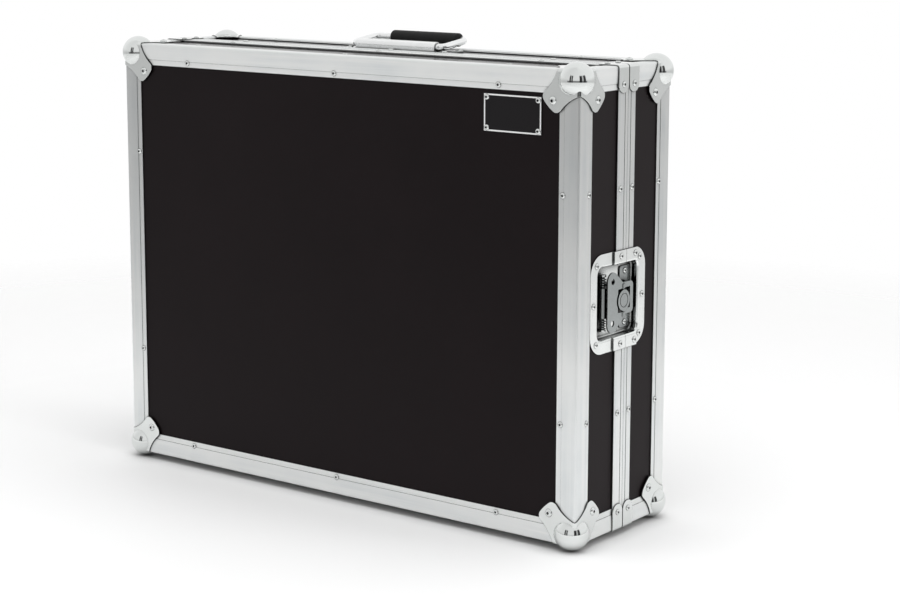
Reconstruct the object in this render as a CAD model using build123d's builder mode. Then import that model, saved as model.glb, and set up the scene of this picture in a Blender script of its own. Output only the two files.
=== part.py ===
from build123d import *
import os
from math import cos, pi, radians, sin

# A flight case in two halves that part at a tongue-and-groove seam.
# All sizes are in millimetres. +X is the right-hand side, -Y is the lid's face, +Z is up.
# The case stands upright on its ball corners, with the carrying handle on top.

# The case
case_width = 664.0
case_height = 510.0
lid_depth = 93.4
base_depth = 86.6
panel_thickness = 9.0
seam_gap = 0.4

# Aluminium edge extrusions
leg_length = 25.4
leg_thickness = 2.0
edge_radius = 2.5
inner_radius = edge_radius - leg_thickness
rim_width = 6.6
rim_drop = 0.8
bead_crown = 10.0
bead_drop = 0.44
bead_bulge = 0.1

# Aluminium seam extrusions
lid_lip = 19.0
base_lip = 14.4
inner_lip_length = 8.0
inner_lip_thickness = 1.2
tongue_web = 2.4
tongue_width = 3.0
tongue_length = 4.0
tongue_depth_in_wall = 5.0
groove_clearance = 0.3
groove_floor = 2.0
seam_line_width = 1.0
seam_line_depth = 0.4
seam_line_from_seam = 5.0
mitre_gap = 0.1

# Pressed steel ball corners
ball_radius = 19.3
ball_inset = 11.5
sheet = 1.2
flange_reach = 55.0
flange_notch = 27.0
flange_tip_angle = 29.2
flange_notch_sagitta = 3.0
flange_tip_radius = 7.0

# Steel braces across the seam's corners
brace_from_seam = 0.6
brace_width = 19.0
brace_leg = 29.0
brace_tip_radius = 9.0

# Rivets
rivet_head_radius = 3.3
rivet_seat_radius = 3.4
rivet_head_height = 1.5
rivet_crown_radius = 1.9
rivet_dome_bulge = 0.3
rivet_hole_radius = 1.3
rivet_hole_depth = 1.2
rivet_shank_radius = 2.4
rivet_shank_length = 8.0
corner_head_radius = 4.6
corner_seat_radius = 4.7
corner_head_height = 1.9
corner_crown_radius = 2.5
corner_hole_radius = 1.6
rivet_from_edge = 20.4
rivet_long_spacing = 228.0
rivet_short_spacing = 123.0
lid_seam_rivet = 12.7
base_seam_rivet = 10.2
flange_rivet = 33.0
brace_rivet_from_seam = 10.5
brace_rivet_from_edge = 20.0

# Label plate on the lid's face, bare
label_width = 75.0
label_height = 41.0
label_thickness = 1.0
label_from_right = 86.0
label_from_top = 50.5
label_corner_radius = 2.0
label_rivet_inset = 4.2

# Foam
foam_pad = 15.0
foam_lining = 8.0
foam_clearance = 0.3

# Carrying handle on the base half's top wall
handle_plate_length = 150.0
handle_plate_width = 40.0
handle_plate_thickness = 2.0
handle_plate_radius = 6.0
handle_from_lip = 0.7
barrel_length = 116.0
barrel_radius = 6.0
rod_radius = 4.0
rod_clearance = 0.1
rod_bend_radius = 8.0
bail_width = 133.0
bail_reach = 45.4
bail_rise_angle = 7.5
barrel_height = 5.0
barrel_from_edge = 1.5
grip_length = 100.0
grip_shift = 8.0
grip_radius = 8.0
grip_end_radius = 3.0
handle_rivet_x = 69.5
handle_rivet_y = 14.0

# Recessed latch on each end of the case, measured from the seam along Y
latch_height = 257.0
dish_lid_reach = 67.4
dish_base_reach = 41.2
dish_height = 108.5
dish_radius = 22.0
dish_border = 14.8
dish_inner_radius = 8.0
dish_mouth_radius = 2.5
dish_floor_radius = 2.0
dish_depth = 11.0
dish_clearance = 0.3
dish_lid_step_gap = 3.2
dish_base_step_gap = 7.0
dish_corner_rivet_inset = 11.6
dish_side_rivet_inset = 6.2
dish_seam_rivet_lid = 10.4
dish_seam_rivet_base = 17.6
dish_seam_rivet_inset = 6.2

# Latch arm and its hinge
hinge_from_seam = 37.4
hinge_above_floor = 5.1
hinge_pin_radius = 2.0
hinge_pin_clearance = 0.05
knuckle_radius = 4.6
knuckle_length = 33.0
ear_thickness = 2.0
ear_radius = 3.6
ear_inside = 29.0
spring_wire_radius = 0.6
spring_radius = 3.2
spring_turns = 4
spring_end_gap = 0.4
arm_above_floor = 2.8
arm_thickness = 2.2
arm_width = 30.0
arm_past_hub = 12.0
arm_end_radius = 5.0

# Twisting hub, eccentric and butterfly wing
hub_from_seam = 8.9
post_radius = 5.0
post_clearance = 0.05
post_foot_radius = 7.0
post_foot_thickness = 1.3
post_foot_gap = 0.3
cam_radius = 8.0
cam_throw = 2.5
cam_thickness = 2.0
cam_gap = 0.2
cam_play = 0.8
cap_radius = 11.5
cap_thickness = 3.6
cap_groove_radius = 8.0
cap_groove_width = 1.0
cap_groove_depth = 0.5
wing_above_flange = 0.5
wing_thickness = 1.8
lobe_radius = 10.3
lobe_back = 21.0
lobe_side = 22.7
lobe_hole_radius = 3.3
wing_cap_clearance = 1.6
wing_horn_width = 4.6
wing_knuckle_radius = 2.4
wing_pin_radius = 1.4
wing_pin_length = 5.8
wing_pin_clearance = 0.05

# Hook frame and keeper
hook_gap = 0.3
hook_thickness = 2.4
hook_height = 35.0
hook_reach = 19.2
hook_bar = 5.8
hook_cross_bar = 3.0
hook_tail_bar = 4.0
hook_corner_radius = 5.0
keeper_thickness = 1.4
keeper_width = 20.0
keeper_height = 68.0
keeper_from_seam = 1.6
keeper_corner_radius = 3.0
keeper_rivet_spread = 28.5
keeper_lip_height = 22.0
keeper_lip_thickness = 4.0
keeper_hook_play = 0.6
keeper_hook_clearance = 0.4

# Places worked out from the sizes above
LID = -1
BASE = 1
seam_y = (lid_depth - base_depth) / 2
lip_of = {LID: lid_lip, BASE: base_lip}
face_y = {LID: seam_y - lid_depth, BASE: seam_y + base_depth}
seam_face = {LID: seam_y - seam_gap / 2, BASE: seam_y + seam_gap / 2}
half_name = {LID: "lid", BASE: "base"}
bottom = ball_radius - ball_inset
top = bottom + case_height
middle = (bottom + top) / 2
wall_depth = leg_thickness + panel_thickness
groove_web = groove_floor + tongue_length + groove_clearance
web_of = {LID: tongue_web, BASE: groove_web}
margin = 2.0

right_plane = Plane(origin=(case_width / 2, 0, middle), x_dir=(0, 1, 0), z_dir=(1, 0, 0))
left_plane = Plane(origin=(-case_width / 2, 0, middle), x_dir=(0, 1, 0), z_dir=(-1, 0, 0))
top_plane = Plane(origin=(0, 0, top), x_dir=(0, 1, 0), z_dir=(0, 0, 1))
bottom_plane = Plane(origin=(0, 0, bottom), x_dir=(0, 1, 0), z_dir=(0, 0, -1))
end_planes = {"right": right_plane, "left": left_plane}

latch_z = bottom + latch_height
latch_planes = {
    name: Plane(origin=(plane.origin.X, seam_y, latch_z), x_dir=(0, 1, 0), z_dir=plane.z_dir)
    for name, plane in end_planes.items()
}
dish_floor = -dish_depth + sheet
hinge_level = dish_floor + hinge_above_floor
arm_level = dish_floor + arm_above_floor
arm_top = arm_level + arm_thickness
hook_level = arm_top + hook_gap
wing_level = sheet + wing_above_flange
fold_level = wing_level + wing_thickness / 2
cap_level = fold_level - cap_thickness / 2
keeper_top = hook_level - keeper_hook_clearance
keeper_lip_far = hook_reach - hook_bar - keeper_hook_play
handle_front = seam_y + base_lip + handle_from_lip
handle_plate_y = handle_front + handle_plate_width / 2
pivot_y = handle_front + barrel_from_edge + barrel_radius
pivot_z = top + barrel_height


def face_plane(half):
    """The outer plane of the lid's or the base's large face."""
    return Plane(origin=(0, face_y[half], middle), x_dir=(1, 0, 0), z_dir=(0, half, 0))


def block(low, high, mode=Mode.ADD):
    """A box between two opposite corners."""
    size = [abs(high[i] - low[i]) for i in range(3)]
    centre = tuple((high[i] + low[i]) / 2 for i in range(3))
    with Locations(centre):
        Box(*size, mode=mode)


def save(builder, name):
    """Labels a finished piece and writes it."""
    builder.part.label = name
    export_step(builder.part, f"parts/{name}.step")


# Rivet places
def spots_on(plane, points, height):
    """Rivet seats on a plane, at a height above it, each with its axis along the plane's normal."""
    return [plane.location * Location((u, v, height)) for u, v in points]


def edge_spots(half):
    """Rivets of the edge extrusions on the large face."""
    across = case_width / 2 - rivet_from_edge
    along = case_height / 2 - rivet_from_edge
    rim = [(x, z) for x in (-rivet_long_spacing, 0, rivet_long_spacing) for z in (-along, along)]
    rim += [(x, z) for x in (-across, across) for z in (-rivet_short_spacing, rivet_short_spacing)]
    return spots_on(face_plane(half), rim, -rim_drop)


def corner_spots(half):
    """The larger rivets through the ball corners' flanges."""
    far_x = case_width / 2 - flange_rivet
    far_z = case_height / 2 - flange_rivet
    on_face = [(x, z) for x in (-far_x, far_x) for z in (-far_z, far_z)]
    spots = spots_on(face_plane(half), on_face, sheet)
    y = face_y[half] - half * flange_rivet
    for plane in (top_plane, bottom_plane):
        spots += spots_on(plane, [(y, -far_x), (y, far_x)], sheet)
    for plane in (right_plane, left_plane):
        spots += spots_on(plane, [(y, -far_z), (y, far_z)], sheet)
    return spots


def wall_spots(half, plane, half_length, row):
    """Rivets of the edge and seam extrusions and the braces on one narrow wall."""
    seam_rivet = {LID: lid_seam_rivet, BASE: base_seam_rivet}[half]
    edge_y = face_y[half] - half * rivet_from_edge
    seam_row_y = seam_y + half * seam_rivet
    brace_y = seam_y + half * brace_rivet_from_seam
    brace_far = half_length - brace_rivet_from_edge
    spots = spots_on(plane, [(edge_y, v) for v in row], -rim_drop)
    spots += spots_on(plane, [(seam_row_y, v) for v in row], 0)
    spots += spots_on(plane, [(brace_y, -brace_far), (brace_y, brace_far)], sheet)
    return spots


def dish_spots(half):
    """Rivets of the latch dishes on both ends of the case."""
    reach = {LID: dish_lid_reach, BASE: dish_base_reach}[half]
    seam_rivet = {LID: dish_seam_rivet_lid, BASE: dish_seam_rivet_base}[half]
    corner = (half * (reach - dish_corner_rivet_inset), dish_height / 2 - dish_corner_rivet_inset)
    side = half * (reach - dish_side_rivet_inset)
    seam = (half * seam_rivet, dish_height / 2 - dish_seam_rivet_inset)
    low = [(side, 0), corner, (corner[0], -corner[1])]
    high = [seam, (seam[0], -seam[1])]
    spots = []
    for plane in latch_planes.values():
        spots += spots_on(plane, low, sheet - leg_thickness)
        spots += spots_on(plane, high, sheet)
    return spots


def label_spots():
    """Rivets at the label plate's corners."""
    x = case_width / 2 - label_from_right
    z = case_height / 2 - label_from_top
    dx = label_width / 2 - label_rivet_inset
    dz = label_height / 2 - label_rivet_inset
    points = [(x + i * dx, z + j * dz) for i in (-1, 1) for j in (-1, 1)]
    return spots_on(face_plane(LID), points, label_thickness - leg_thickness)


def handle_spots():
    """Rivets that hold the handle's plate to the top wall."""
    xs = (-handle_rivet_x, handle_rivet_x)
    points = [(handle_plate_y + dy, x) for x in xs for dy in (-handle_rivet_y, handle_rivet_y)]
    return spots_on(top_plane, points, handle_plate_thickness - leg_thickness)


def keeper_spots():
    """Short rivets that hold the keepers to the floor of the base's dishes."""
    keeper_middle = keeper_from_seam + keeper_width / 2
    points = [(keeper_middle, -keeper_rivet_spread), (keeper_middle, keeper_rivet_spread)]
    spots = []
    for plane in latch_planes.values():
        spots += spots_on(plane, points, dish_floor + keeper_thickness)
    return spots


long_row = (-rivet_long_spacing, 0, rivet_long_spacing)
short_row = (-rivet_short_spacing, rivet_short_spacing)
spots_of = {}
for half in (LID, BASE):
    spots_of[half] = edge_spots(half) + dish_spots(half)
    spots_of[half] += wall_spots(half, top_plane, case_width / 2, long_row)
    spots_of[half] += wall_spots(half, bottom_plane, case_width / 2, long_row)
    spots_of[half] += wall_spots(half, right_plane, case_height / 2, short_row)
    spots_of[half] += wall_spots(half, left_plane, case_height / 2, short_row)
spots_of[LID] += label_spots()
spots_of[BASE] += handle_spots()


def drill_at(builder, spots, seat_radius, seat_height):
    """Cuts the shank holes and head seats of those rivets that are near the piece being built."""
    box = builder.part.bounding_box()
    reach = rivet_shank_length
    near = []
    for spot in spots:
        place = spot.position
        inside_x = box.min.X - reach < place.X < box.max.X + reach
        inside_y = box.min.Y - reach < place.Y < box.max.Y + reach
        inside_z = box.min.Z - reach < place.Z < box.max.Z + reach
        if inside_x and inside_y and inside_z:
            near.append(spot)
    if near:
        below = (Align.CENTER, Align.CENTER, Align.MAX)
        above = (Align.CENTER, Align.CENTER, Align.MIN)
        with Locations(*near):
            Cylinder(rivet_shank_radius, rivet_shank_length, align=below, mode=Mode.SUBTRACT)
            Cylinder(seat_radius, seat_height, align=above, mode=Mode.SUBTRACT)


def drill(builder, half):
    """Makes room for every rivet of one half in the piece being built."""
    drill_at(builder, spots_of[half], rivet_seat_radius, rivet_head_height)
    drill_at(builder, corner_spots(half), corner_seat_radius, corner_head_height)


# A head's radius, height, crown radius and hole radius
small_head = (rivet_head_radius, rivet_head_height, rivet_crown_radius, rivet_hole_radius)
large_head = (corner_head_radius, corner_head_height, corner_crown_radius, corner_hole_radius)


def rivet_solid(shank_length, head):
    """A blind rivet: shank, domed head and the hole that its mandrel leaves."""
    head_radius, head_height, crown_radius, hole_radius = head
    with BuildPart() as rivet:
        with BuildSketch(Plane.XZ):
            with BuildLine():
                Polyline(
                    (0, -shank_length),
                    (rivet_shank_radius, -shank_length),
                    (rivet_shank_radius, 0),
                    (head_radius, 0),
                )
                SagittaArc((head_radius, 0), (crown_radius, head_height), -rivet_dome_bulge)
                Polyline(
                    (crown_radius, head_height),
                    (hole_radius, head_height),
                    (hole_radius, head_height - rivet_hole_depth),
                    (0, head_height - rivet_hole_depth),
                    (0, -shank_length),
                )
            make_face()
        revolve(axis=Axis.Z)
    return rivet.part


# Recess that the latch dish needs in the walls and seam extrusions
def cut_latch_recess(grow):
    """Cuts the dish's cup, grown by a clearance, out of both ends of the piece being built."""
    inner_lid = dish_lid_reach - dish_border
    inner_base = dish_base_reach - dish_border
    width = inner_lid + inner_base + 2 * grow
    height = dish_height - 2 * dish_border + 2 * grow
    centre = (inner_base - inner_lid) / 2
    for plane in latch_planes.values():
        with BuildSketch(plane.offset(-dish_depth - inner_lip_thickness - margin)) as opening:
            with Locations((centre, 0)):
                RectangleRounded(width, height, dish_inner_radius + grow)
        depth = dish_depth + inner_lip_thickness + 2 * margin
        extrude(opening.sketch, amount=depth, mode=Mode.SUBTRACT)


# Plywood panels
inner_x = case_width / 2 - wall_depth
inner_top = top - wall_depth
inner_bottom = bottom + wall_depth


def face_panel(half, name):
    """The large face of one half."""
    outer = face_y[half] - half * leg_thickness
    inner = outer - half * panel_thickness
    x = case_width / 2 - leg_thickness
    with BuildPart() as panel:
        block((-x, outer, bottom + leg_thickness), (x, inner, top - leg_thickness))
        inner_edges = panel.faces().sort_by(Axis.Y)[min(0, half)].edges()
        fillet(panel.edges() - inner_edges, radius=inner_radius)
        drill(panel, half)
    save(panel, name)


def end_wall(half, name, side):
    """A left or right wall, with the latch's recess cut through it."""
    start = face_y[half] - half * wall_depth
    end = seam_face[half] + half * web_of[half]
    outer = side * (case_width / 2 - leg_thickness)
    with BuildPart() as wall:
        block((outer, start, bottom + leg_thickness), (side * inner_x, end, top - leg_thickness))
        long_edges = wall.edges().filter_by(Axis.Y)
        fillet(long_edges.group_by(Axis.X)[min(0, -side)], radius=inner_radius)
        cut_latch_recess(sheet + dish_clearance)
        drill(wall, half)
    save(wall, name)


def level_wall(half, name, side):
    """A top or bottom wall, fitted between the end walls."""
    start = face_y[half] - half * wall_depth
    end = seam_face[half] + half * web_of[half]
    z_outer = top - leg_thickness if side > 0 else bottom + leg_thickness
    with BuildPart() as wall:
        block((-inner_x, start, z_outer), (inner_x, end, z_outer - side * panel_thickness))
        drill(wall, half)
    save(wall, name)


# Edge extrusions
def edge_profile():
    """The angle's section: x and y run from the case's corner along its two legs."""
    rim = leg_length - rim_width
    with BuildLine() as section:
        Line((edge_radius, 0), (bead_crown, 0))
        SagittaArc((bead_crown, 0), (rim, bead_drop), -bead_bulge)
        Polyline(
            (rim, bead_drop),
            (rim, rim_drop),
            (leg_length, rim_drop),
            (leg_length, leg_thickness),
            (edge_radius, leg_thickness),
        )
        RadiusArc((edge_radius, leg_thickness), (leg_thickness, edge_radius), inner_radius)
        Polyline(
            (leg_thickness, edge_radius),
            (leg_thickness, leg_length),
            (rim_drop, leg_length),
            (rim_drop, rim),
            (bead_drop, rim),
        )
        SagittaArc((bead_drop, rim), (0, bead_crown), -bead_bulge)
        Line((0, bead_crown), (0, edge_radius))
        RadiusArc((0, edge_radius), (edge_radius, 0), -edge_radius)
    make_face(section.edges())


def edge_bar(corner, leg_a, leg_b, length):
    """One angle extrusion from a corner point, with its legs and its length given as vectors."""
    run = Vector(*leg_a).cross(Vector(*leg_b))
    plane = Plane(origin=corner, x_dir=leg_a, z_dir=run)
    with BuildSketch(plane) as section:
        edge_profile()
    extrude(section.sketch, amount=length)


def long_edge(half, name, side):
    """The extrusion along X at the top or bottom of the large face."""
    length = case_width - 2 * edge_radius
    z = top if side > 0 else bottom
    with BuildPart() as edge:
        inward = (0, -half, 0)
        down = (0, 0, -side)
        start = -length / 2 if Vector(*inward).cross(Vector(*down)).X > 0 else length / 2
        edge_bar((start, face_y[half], z), inward, down, length)
        drill(edge, half)
    save(edge, name)


def upright_edge(half, name, side):
    """The extrusion along Z at the left or right of the large face, between the long edges."""
    length = case_height - 2 * leg_length
    with BuildPart() as edge:
        inward = (0, -half, 0)
        across = (-side, 0, 0)
        upward = Vector(*inward).cross(Vector(*across)).Z > 0
        start = bottom + leg_length if upward else top - leg_length
        edge_bar((side * case_width / 2, face_y[half], start), inward, across, length)
        drill(edge, half)
    save(edge, name)


def corner_edges(half, name):
    """The four short extrusions that run from the large face to the seam."""
    start = face_y[half] - half * leg_length
    end = seam_face[half] + half * lip_of[half]
    with BuildPart() as edges:
        for side in (-1, 1):
            for level in (bottom, top):
                down = (0, 0, -1) if level == top else (0, 0, 1)
                across = (-side, 0, 0)
                forward = Vector(*across).cross(Vector(*down)).Y > 0
                first = min(start, end) if forward else max(start, end)
                edge_bar((side * case_width / 2, first, level), across, down, abs(end - start))
        drill(edges, half)
    save(edges, name)


# Seam extrusions
def ring(half, near, far, depth_out, depth_in, mode=Mode.ADD):
    """A rectangular ring round the case, between two distances from the seam and two wall depths."""
    plane = Plane(
        origin=(0, seam_face[half] + half * near, middle), x_dir=(1, 0, 0), z_dir=(0, half, 0)
    )
    with BuildSketch(plane) as outline:
        width = case_width - 2 * depth_out
        height = case_height - 2 * depth_out
        if depth_out < edge_radius:
            RectangleRounded(width, height, edge_radius - depth_out)
        else:
            Rectangle(width, height)
        hole = (case_width - 2 * depth_in, case_height - 2 * depth_in)
        if depth_in < edge_radius:
            RectangleRounded(*hole, edge_radius - depth_in, mode=Mode.SUBTRACT)
        else:
            Rectangle(*hole, mode=Mode.SUBTRACT)
    extrude(outline.sketch, amount=far - near, mode=mode)


def seam_ring(half):
    """The whole seam extrusion before its mitres: lip, web and inner lip, and tongue or groove."""
    web = web_of[half]
    inner = wall_depth + inner_lip_thickness
    line = seam_line_from_seam
    with BuildPart() as whole:
        ring(half, 0, web, 0, inner)
        ring(half, 0, lip_of[half], 0, leg_thickness)
        ring(half, 0, web + inner_lip_length, wall_depth, inner)
        ring(half, line, line + seam_line_width, 0, seam_line_depth, Mode.SUBTRACT)
        if half == LID:
            tongue_end = tongue_depth_in_wall + tongue_width
            ring(half, -tongue_length, 0, tongue_depth_in_wall, tongue_end)
        else:
            groove_start = tongue_depth_in_wall - groove_clearance
            groove_end = tongue_depth_in_wall + tongue_width + groove_clearance
            groove_depth = web - groove_floor
            ring(half, 0, groove_depth, groove_start, groove_end, Mode.SUBTRACT)
        cut_latch_recess(sheet + dish_clearance)
        drill(whole, half)
    return whole.part


def seam_extrusions(half):
    """The seam extrusion cut into four lengths by mitres at the case's corners."""
    whole = seam_ring(half)
    x = case_width / 2 + margin
    z = case_height / 2 + margin
    lengths = []
    gap = mitre_gap
    wedges = (
        [(-x, z + gap), (x, z + gap), (x - z, gap), (z - x, gap)],
        [(-x, -z - gap), (x, -z - gap), (x - z, -gap), (z - x, -gap)],
        [(x, z), (x, -z), (x - z, 0)],
        [(-x, z), (-x, -z), (z - x, 0)],
    )
    reach = lip_of[half] + tongue_length + margin
    for wedge in wedges:
        with BuildPart() as length:
            add(whole)
            with BuildSketch(Plane(origin=(0, seam_y, middle), x_dir=(1, 0, 0), z_dir=(0, -1, 0))):
                with BuildLine():
                    Polyline(*wedge, close=True)
                make_face()
            extrude(amount=reach, both=True, mode=Mode.INTERSECT)
        lengths += length.part.solids()
    with BuildPart() as extrusions:
        add(lengths)
    return extrusions


# Sheet over the case's rounded edges, from which ball corners and braces are cut
def rounded_case(grow):
    """The case's outer form, grown by a thickness."""
    with BuildPart() as form:
        with Locations((0, (face_y[LID] + face_y[BASE]) / 2, middle)):
            Box(
                case_width + 2 * grow,
                lid_depth + base_depth + 2 * grow,
                case_height + 2 * grow,
            )
        fillet(form.edges(), radius=edge_radius + grow)
    return form.part


case_form = rounded_case(0)
case_skin = rounded_case(sheet)


def flange_outline():
    """One flange: a fan round the case's corner, notched where it leaves the two edges."""
    angle = radians(flange_tip_angle)
    tip = (flange_reach * sin(angle), flange_reach * cos(angle))
    far_tip = (tip[1], tip[0])
    crest = flange_reach * cos(pi / 4)
    outside = -(sheet + margin)
    with BuildLine() as border:
        Polyline(
            (flange_notch, 0),
            (flange_notch, outside),
            (outside, outside),
            (outside, flange_notch),
            (0, flange_notch),
        )
        SagittaArc((0, flange_notch), tip, -flange_notch_sagitta)
        ThreePointArc(tip, (crest, crest), far_tip)
        SagittaArc(far_tip, (flange_notch, 0), -flange_notch_sagitta)
    make_face(border.edges())


def ball_corner_form():
    """The ball corner at the left, front, bottom corner of the case."""
    vertex = (-case_width / 2, face_y[LID], bottom)
    centre = tuple(v + ball_inset for v in vertex)
    flange_planes = (
        Plane(origin=vertex, x_dir=(1, 0, 0), z_dir=(0, -1, 0)),
        Plane(origin=vertex, x_dir=(0, 0, 1), z_dir=(-1, 0, 0)),
        Plane(origin=vertex, x_dir=(0, 1, 0), z_dir=(0, 0, -1)),
    )
    wrap = edge_radius + sheet + margin
    with BuildPart() as corner:
        for plane in flange_planes:
            with BuildSketch(plane.offset(-wrap)) as outline:
                flange_outline()
                tips = outline.vertices().sort_by_distance((0, 0, 0))[-2:]
                fillet(tips, radius=flange_tip_radius)
            extrude(amount=wrap + sheet + margin)
        add(case_skin, mode=Mode.INTERSECT)
        with Locations(centre):
            Sphere(ball_radius)
            Sphere(ball_radius - sheet, mode=Mode.SUBTRACT)
        add(case_form, mode=Mode.SUBTRACT)
    return corner.part


def ball_corner(name, form, half, side, level):
    """A ball corner, mirrored to its own corner of the case and drilled for its rivets."""
    with BuildPart() as corner:
        add(form)
        if side > 0:
            mirror(about=Plane.YZ, mode=Mode.REPLACE)
        if half == BASE:
            mirror(about=Plane.XZ, mode=Mode.REPLACE)
        if level > 0:
            mirror(about=Plane.XY.offset(middle), mode=Mode.REPLACE)
        drill(corner, half)
    save(corner, name)


# Braces over the seam's corners
def seam_braces(half, name):
    """Four angle braces that cap the seam extrusion's mitres."""
    x = -case_width / 2
    near = seam_face[half] + half * brace_from_seam
    far = near + half * brace_width
    outside = sheet + margin
    wrap = edge_radius + margin
    with BuildPart() as braces:
        block((x - outside, near, bottom - outside), (x + wrap, far, bottom + brace_leg))
        block((x - outside, near, bottom - outside), (x + brace_leg, far, bottom + wrap))
        fillet(braces.edges().group_by(Axis.Z)[-1].filter_by(Axis.X), radius=brace_tip_radius)
        fillet(braces.edges().group_by(Axis.X)[-1].filter_by(Axis.Z), radius=brace_tip_radius)
        add(case_skin, mode=Mode.INTERSECT)
        add(case_form, mode=Mode.SUBTRACT)
        mirror(about=Plane.YZ)
        mirror(about=Plane.XY.offset(middle))
        drill(braces, half)
    save(braces, name)


# Foam
strip_outer_x = case_width / 2 - max(wall_depth, dish_depth) - foam_clearance
strip_inner_x = strip_outer_x - foam_lining
strip_bottom = inner_bottom + foam_clearance
strip_top = inner_top - foam_clearance
foam_back = {half: face_y[half] - half * (wall_depth + foam_clearance) for half in (LID, BASE)}


def foam_pad_piece(half, name):
    """The pad against the inside of the large face, within the lining."""
    x = strip_inner_x - foam_clearance
    low = strip_bottom + foam_lining + foam_clearance
    high = strip_top - foam_lining - foam_clearance
    with BuildPart() as pad:
        block((-x, foam_back[half], low), (x, foam_back[half] - half * foam_pad, high))
    save(pad, name)


def foam_lining_piece(half, name):
    """Four strips round the inside of the walls, from the large face to the seam extrusion."""
    start = foam_back[half]
    end = seam_face[half] + half * (web_of[half] + inner_lip_length + foam_clearance)
    with BuildPart() as lining:
        for side in (-1, 1):
            block((side * strip_outer_x, start, strip_bottom), (side * strip_inner_x, end, strip_top))
        x = strip_inner_x - foam_clearance
        block((-x, start, strip_bottom), (x, end, strip_bottom + foam_lining))
        block((-x, start, strip_top - foam_lining), (x, end, strip_top))
    save(lining, name)


# Label plate
def label_plate():
    """A bare plate riveted to the lid's face."""
    x = case_width / 2 - label_from_right
    z = case_height / 2 - label_from_top
    with BuildPart() as plate:
        with BuildSketch(face_plane(LID).offset(-leg_thickness)):
            with Locations((x, z)):
                RectangleRounded(label_width, label_height, label_corner_radius)
        extrude(amount=label_thickness)
        drill(plate, LID)
    save(plate, "label_plate")


# Carrying handle
def along_x(y, z, length, radius, mode=Mode.ADD, middle_x=0.0):
    """A round bar along X, centred on the case's middle plane unless told otherwise."""
    with BuildSketch(Plane(origin=(middle_x - length / 2, y, z), z_dir=(1, 0, 0))) as section:
        Circle(radius)
    extrude(section.sketch, amount=length, mode=mode)


def handle_plate():
    """The base plate, rolled up along its front edge into the barrel that the bail turns in."""
    with BuildPart() as plate:
        with BuildSketch(top_plane.offset(-leg_thickness)):
            with Locations((handle_plate_y, 0)):
                RectangleRounded(handle_plate_width, handle_plate_length, handle_plate_radius)
        extrude(amount=handle_plate_thickness)
        half_length = barrel_length / 2
        low = (-half_length, pivot_y - barrel_radius, top - leg_thickness)
        high = (half_length, pivot_y + barrel_radius, pivot_z)
        block(low, high)
        along_x(pivot_y, pivot_z, barrel_length, barrel_radius)
        along_x(pivot_y, pivot_z, barrel_length, rod_radius + rod_clearance, Mode.SUBTRACT)
        drill(plate, BASE)
    save(plate, "handle_plate")


rise = radians(bail_rise_angle)
bail_plane = Plane(
    origin=(0, pivot_y, pivot_z), x_dir=(1, 0, 0), z_dir=(0, -sin(rise), cos(rise))
)
grip_line = bail_plane.from_local_coords((0, bail_reach, 0))


def handle_bail():
    """A closed loop of round rod: one side turns in the barrel and the other carries the grip."""
    x = bail_width / 2
    with BuildPart() as bail:
        with BuildLine(bail_plane) as loop:
            corners = ((-x, 0), (x, 0), (x, bail_reach), (-x, bail_reach))
            FilletPolyline(*corners, radius=rod_bend_radius, close=True)
        with BuildSketch(Plane(origin=loop.line @ 0, z_dir=loop.line % 0)):
            Circle(rod_radius)
        sweep(path=loop.line)
    save(bail, "handle_bail")


def handle_grip():
    """A rubber sleeve on the bail's outer side, slid towards its right end."""
    with BuildPart() as grip:
        along_x(grip_line.Y, grip_line.Z, grip_length, grip_radius, Mode.ADD, grip_shift)
        fillet(grip.edges(), radius=grip_end_radius)
        along_x(grip_line.Y, grip_line.Z, grip_length, rod_radius, Mode.SUBTRACT, grip_shift)
    save(grip, "handle_grip")


# Latches: u runs along +Y from the seam, v along the hinge and w out of the case's end
def slab(plane, low, high, mode=Mode.ADD):
    """A box between two corners given in a plane's own coordinates."""
    with BuildSketch(plane.offset(low[2])) as outline:
        with Locations(((low[0] + high[0]) / 2, (low[1] + high[1]) / 2)):
            Rectangle(high[0] - low[0], high[1] - low[1])
    extrude(outline.sketch, amount=high[2] - low[2], mode=mode)


def disc(plane, u, level, thickness, radius, mode=Mode.ADD):
    """A round plate that stands on a level of the latch."""
    with BuildSketch(plane.offset(level)) as outline:
        with Locations((u, 0)):
            Circle(radius)
    extrude(outline.sketch, amount=thickness, mode=mode)


def rod(plane, place, start, length, radius, mode=Mode.ADD):
    """A round bar along v, at a place given as (u, w)."""
    origin = plane.from_local_coords((place[0], start, place[1]))
    with BuildSketch(Plane(origin=origin, z_dir=plane.y_dir)) as section:
        Circle(radius)
    extrude(section.sketch, amount=length, mode=mode)


hinge = (-hinge_from_seam, hinge_level)
ear_outside = ear_inside + ear_thickness


def rounded_slab(plane, size, radius, low, high, mode=Mode.ADD):
    """A plate with rounded corners over the dish's middle, between two levels."""
    with BuildSketch(plane.offset(low)) as outline:
        with Locations(((dish_base_reach - dish_lid_reach) / 2, 0)):
            RectangleRounded(*size, radius)
    extrude(outline.sketch, amount=high - low, mode=mode)


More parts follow.
